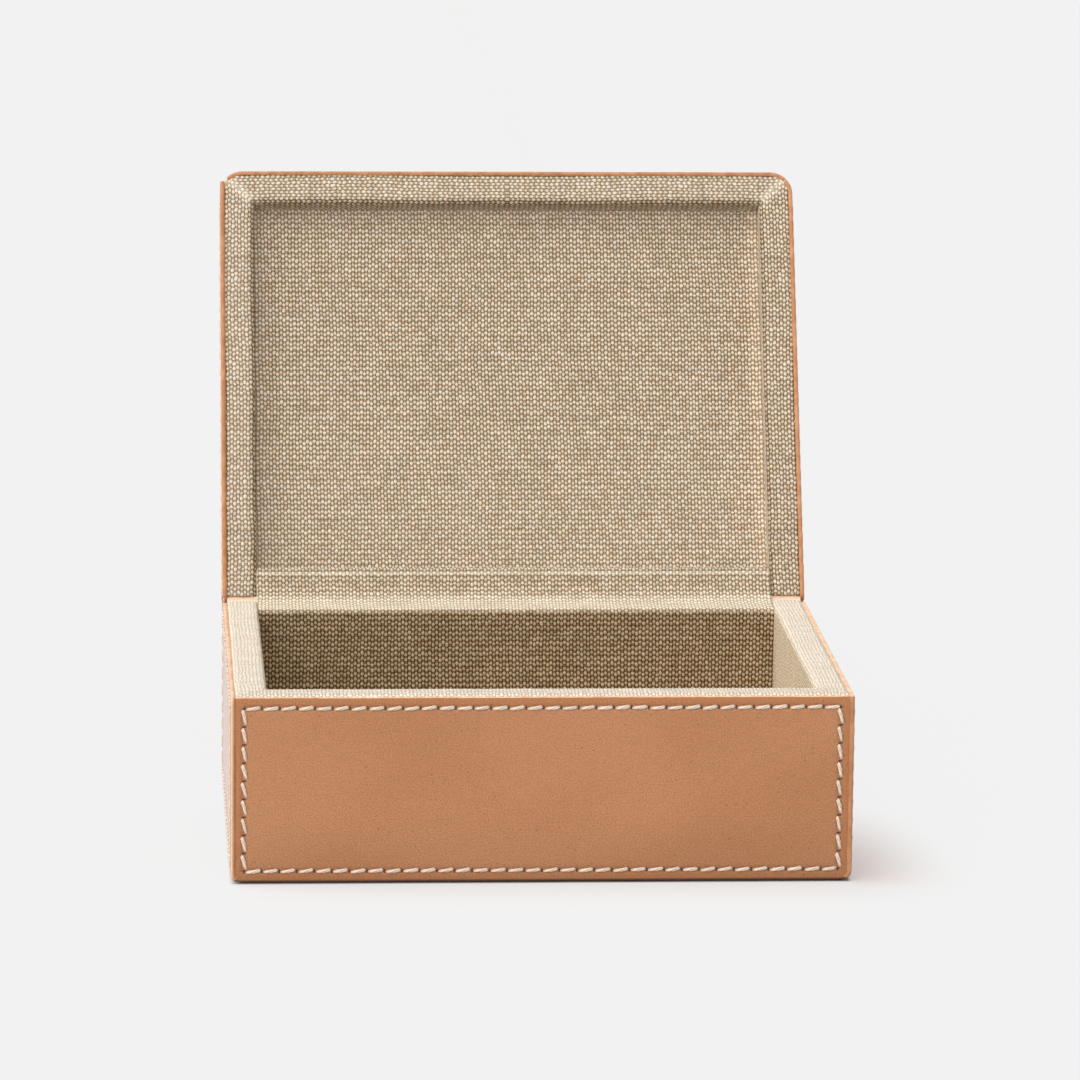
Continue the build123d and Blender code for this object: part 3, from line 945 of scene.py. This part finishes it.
# Painted light: the flesh side is paler low on the fold, which lies in shade.
nap_tone = bench.mix(hinge_z.ramp(62.1, 61.5), nap_tone, linear(240, 222, 198))
flesh_material = bench.finish(Base_Color=nap_tone, Roughness=0.75, Normal=bench.relief(nap, 0.0001))

back = BOX_DEPTH / 2
low = (back, TRAY_HEIGHT - HINGE_FLEX)
high = opened(back, LID_RIM + HINGE_FLEX)
x = CORE_WIDTH / 2
bm = swept_cloth([low, HINGE_LINE.yz, high], [HINGE_FOLD], -x, x, uv="cut", step=FOLD_STEP)
for face in backed(bm, HINGE_LEATHER, 30, (0, 1, 0)):
    face.material_index = 1
piece = placed(bm, "hinge_leather_fold", [tanned_leather("hinge_leather_grain", seed=30), flesh_material])
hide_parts("hinge_leather")
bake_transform(piece)

INNER_BACK = INNER_DEPTH / 2
half_turn = OPEN_BY / 2
rims_meet = (back + (LID_RIM - TRAY_HEIGHT) / 2 / math.tan(half_turn), TRAY_HEIGHT)
corners = [
    (INNER_BACK, FLOOR_TOP),
    (INNER_BACK, TRAY_HEIGHT),
    rims_meet,
    opened(INNER_BACK, LID_RIM),
    opened(INNER_BACK, LID_RIM + RECESS + CANVAS),
]
# Painted light and shade along the hinge cloth: shade down the tray's back wall, light over the rim, and on the lid's
# rim a painted highlight at the folded edge with a painted shadow line above it.
HINGE_BANDS = [
    ("along", -2.0, -1.0, 0.0, -0.21, 1.0),
    ("along", 53.0, 56.0, 0.5, 0.24, -0.85),
    ("along", 64.0, 69.0, -0.4, -0.04, 0.0),
    ("along", 74.8, 75.3, 0.45, 0.05, 0.0),
    ("along", 76.1, 76.5, -0.4, -0.24, 0.0),
    ("along", 77.1, 77.5, 0.0, 0.17, 0.0),
]
x = INNER_WIDTH / 2
bm = swept_cloth(corners, [RIM_ROUNDING, COVE_RADIUS, RIM_ROUNDING], -x, x, ribs_across=True, step=0.0012)
backed(bm, CANVAS, 31, (0, -1, 0))
piece = placed(bm, "hinge_canvas_strip", [canvas_cloth("hinge_canvas_weave", 31, bands=HINGE_BANDS)])
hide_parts("hinge_canvas")
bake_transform(piece)


# ---------------------------------------------------------------------------
# Saddle stitches
# Waxed ecru linen of three plies, sewn by hand with two needles. Each stitch
# comes up from one pricked slit and goes down into the next on a slight slant.

STITCH_LENGTH = 0.0051
STITCH_WIDTH = 0.00135
STITCH_HEIGHT = 0.0008
STITCH_RISE = 0.00006
SLANT = math.radians(8)
COLUMN_SLANT = math.radians(14)
PLY_TURN = math.radians(210)
STITCH_RINGS = 7

bench = Bench("waxed_thread")
along, around, _ = bench.place("thread")
strands = bench.add("ShaderNodeMath", {"operation": "SINE"}, [(around / 1000 + along * 0.1) * 18.85])
fuzz = bench.cloud(bench.vector(along * 2.2, around * 0.004), 1.0, 2.0)
thread_x, thread_y, thread_z = bench.place()
soil = bench.cloud(bench.vector(thread_x, thread_y, thread_z), 0.12, 2.0)
thread_tone = bench.mix(strands * 0.35 + fuzz * 0.5 + 0.25, linear(214, 186, 162), linear(255, 240, 224))
thread_material = bench.finish(
    Base_Color=bench.shade(thread_tone, soil * 0.2 + 0.88),
    Roughness=0.62,
    Specular_IOR_Level=0.35,
    Normal=bench.relief(strands + fuzz, 0.00006),
)


def one_stitch():
    """A single stitch along X on the plane Z = 0, plied, plump and tapered to both ends."""
    bm = bmesh.new()
    layer = bm.loops.layers.uv.new("thread")
    ring = bmesh.ops.create_circle(bm, cap_ends=True, segments=6, radius=0.5)["verts"]
    for index, vert in enumerate(ring):
        vert.co *= 1.0 if index % 2 else 0.84
    bmesh.ops.rotate(bm, matrix=Matrix.Rotation(math.pi / 2, 3, "Y"), verts=ring)
    end = bm.faces[:]
    for _ in range(STITCH_RINGS):
        grown = bmesh.ops.extrude_face_region(bm, geom=end)["geom"]
        bmesh.ops.delete(bm, geom=end, context="FACES_ONLY")
        end = [item for item in grown if isinstance(item, bmesh.types.BMFace)]
        ring = [item for item in grown if isinstance(item, bmesh.types.BMVert)]
        turn = Matrix.Rotation(PLY_TURN / STITCH_RINGS, 3, "X")
        bmesh.ops.translate(bm, vec=(1 / STITCH_RINGS, 0, 0), verts=ring)
        bmesh.ops.rotate(bm, matrix=turn, verts=ring)
    bmesh.ops.holes_fill(bm, edges=bm.edges, sides=6)
    bmesh.ops.recalc_face_normals(bm, faces=bm.faces)
    for face in bm.faces:
        face.smooth = True
        centre = face.calc_center_median()
        middle = math.atan2(centre.z, centre.y)
        for loop in face.loops:
            x, y, z = loop.vert.co
            turned = (math.atan2(z, y) - middle + math.pi) % (2 * math.pi) - math.pi + middle
            loop[layer].uv = (x * STITCH_LENGTH, turned / (2 * math.pi))
    for vert in bm.verts:
        x, y, z = vert.co
        s = 2 * x - 1
        swell = max(0.0, 1 - abs(s) ** 3) ** 0.5 * 0.62 + 0.38
        blunt = 1 + 0.18 * s
        vert.co.x = s * STITCH_LENGTH / 2
        vert.co.y = y * STITCH_WIDTH * swell * blunt
        vert.co.z = z * STITCH_HEIGHT * swell + STITCH_RISE - 0.0004 * s ** 6
    mesh = bpy.data.meshes.new("one_stitch")
    bm.to_mesh(mesh)
    bm.free()
    return mesh


stitch_shape = one_stitch()


def sewn(name, seam, node, body, *moves):
    """Stitches all round a seam, each one a little different from the last."""
    hand = random.Random(name)
    a, b, step_u, step_v = [size / 1000 for size in seam]
    spots = []
    for side in (-1, 1):
        for index in range(round(2 * a / step_u)):
            spots.append((-a + step_u * (index + 0.5), side * b, 0.0, step_u))
        for index in range(round(2 * b / step_v)):
            spots.append((side * a, -b + step_v * (index + 0.5), math.pi / 2, step_v))
    bm = bmesh.new()
    for x, y, heading, step in spots:
        before = len(bm.verts)
        bm.from_mesh(stitch_shape)
        bm.verts.ensure_lookup_table()
        fresh = bm.verts[before:]
        slant = COLUMN_SLANT if heading else SLANT
        lean = heading + slant + hand.uniform(-0.05, 0.05)
        size = Matrix.Diagonal((step / STITCH_PITCH * hand.uniform(0.97, 1.03), hand.uniform(0.92, 1.08), 1, 1))
        spot = Matrix.Translation((x + hand.uniform(-1, 1) * 0.00012, y + hand.uniform(-1, 1) * 0.0001, 0))
        bmesh.ops.transform(bm, matrix=spot @ Matrix.Rotation(lean, 4, "Z") @ size, verts=fresh)
    piece = placed(bm, name, [thread_material], *moves)
    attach(piece, body)
    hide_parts(node)


for side, width, height in (
    ("front", CORE_WIDTH, FRONT_HEIGHT),
    ("back", CORE_WIDTH, FRONT_HEIGHT - HINGE_FLEX),
    ("left", BOX_DEPTH, FRONT_HEIGHT),
    ("right", BOX_DEPTH, FRONT_HEIGHT),
):
    spot = wall_place(side, PANEL_LIFT + height / 2)
    sewn(f"tray_{side}_seam", seam_of(width, height), f"tray_{side}_stitches", "tray", spot)

sewn("lid_top_seam", seam_of(BOX_WIDTH, BOX_DEPTH), "lid_top_stitches", "lid", on_top, swung)
for side, width, height, shift in (
    ("front", 2 * straight, STRIP_HEIGHT, 0.0),
    ("back", CORE_WIDTH, STRIP_HEIGHT - HINGE_FLEX, 0.0),
    ("left", side_length, STRIP_HEIGHT, -LID_CORNER / 2),
    ("right", side_length, STRIP_HEIGHT, LID_CORNER / 2),
):
    spot = wall_place(side, LID_BOARD_TOP - height / 2, shift)
    seam = seam_of(width, height, STRIP_INSET)
    sewn(f"lid_{side}_seam", seam, f"lid_{side}_stitches", "lid", spot, swung)
